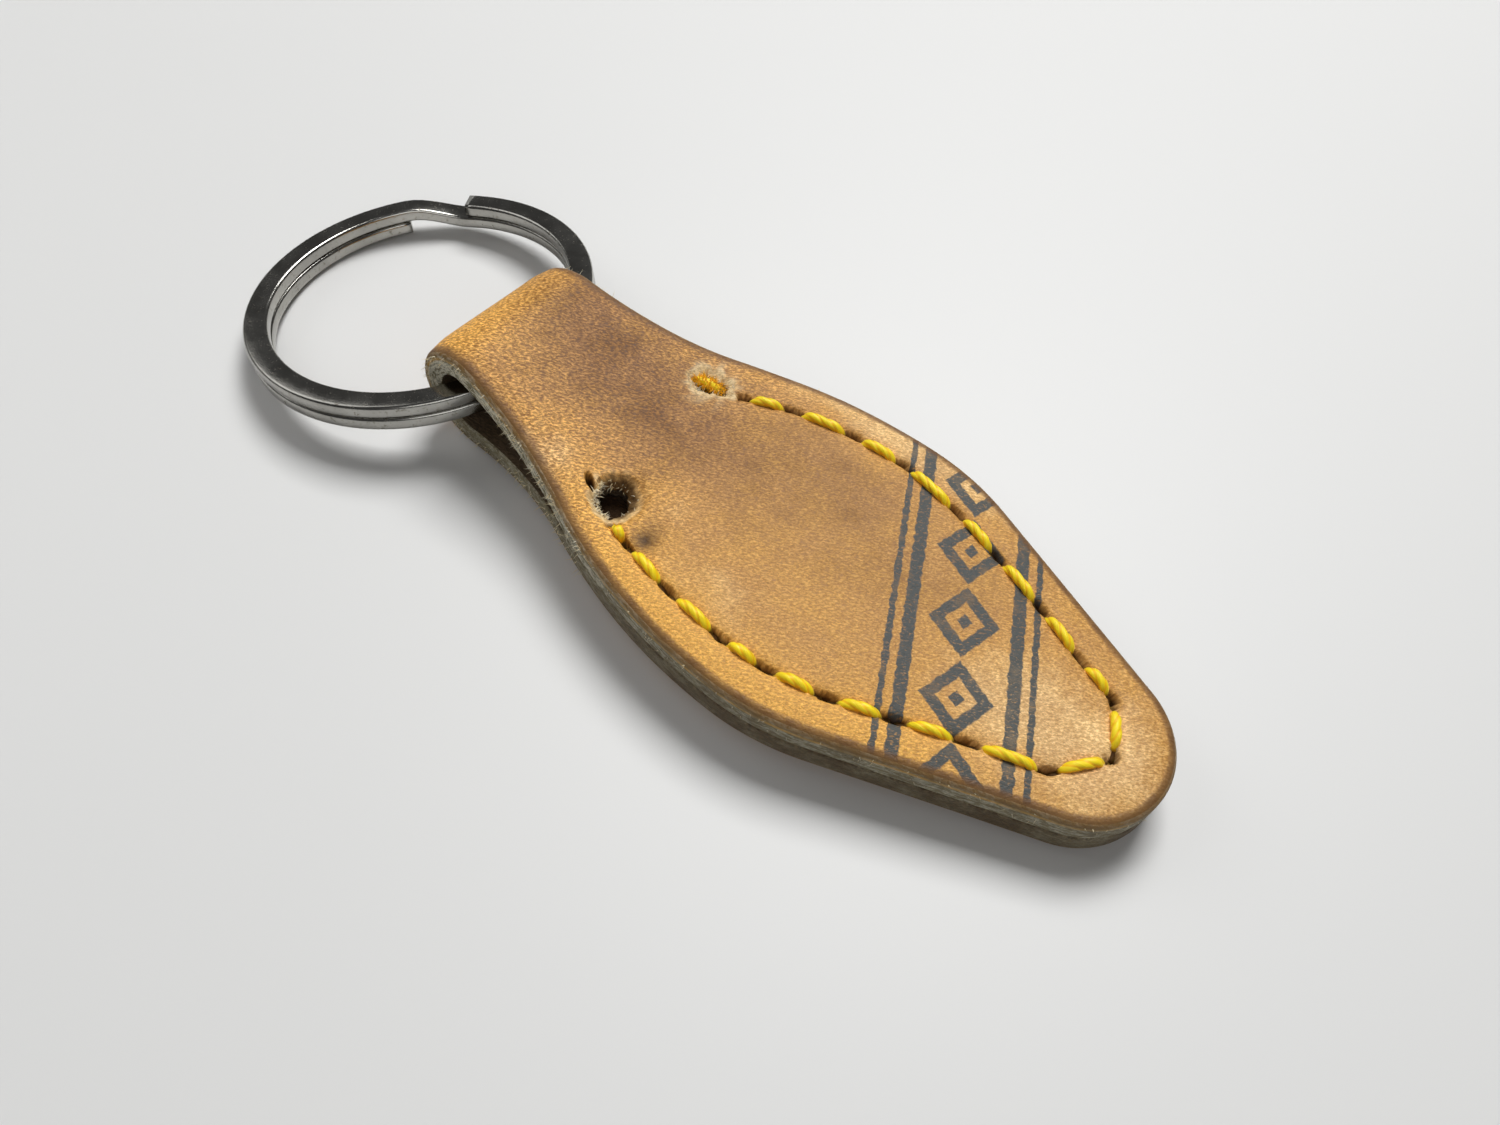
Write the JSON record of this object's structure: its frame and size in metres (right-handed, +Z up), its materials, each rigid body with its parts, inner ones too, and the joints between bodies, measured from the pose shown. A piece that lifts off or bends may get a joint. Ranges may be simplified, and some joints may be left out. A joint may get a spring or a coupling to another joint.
{
  "type": "leather key fob",
  "caption": "Tapered key fob of one leather strip, folded over a flat-wire split ring and closed by a stitched seam; the ring swings in the fold and takes keys.",
  "frame": {"origin": "middle of the part's box, on the surface that the fold, the tip and the ring's far side touch", "axes": "+X from the ring to the rounded tip, +Z up out of the stitched front face"},
  "size_m": [0.0925, 0.032, 0.0105],
  "materials": {
    "leather": "worn vegetable-tanned leather, grain side out, burnished edges",
    "thread": "waxed twisted yellow thread",
    "ring_metal": "polished nickel plate on spring steel"
  },
  "bodies": {
    "fob": {"leather_body": "leather", "front_thread": "thread", "back_thread": "thread"},
    "ring": {"split_ring": "ring_metal"}
  },
  "joints": [
    {"name": "ring_swing", "type": "hinge", "parent": "fob", "child": "ring", "pos_m": [-0.01652, 0, 0.00524], "axis": [0, 1, 0], "range_deg": [-155, 175]}
  ]
}
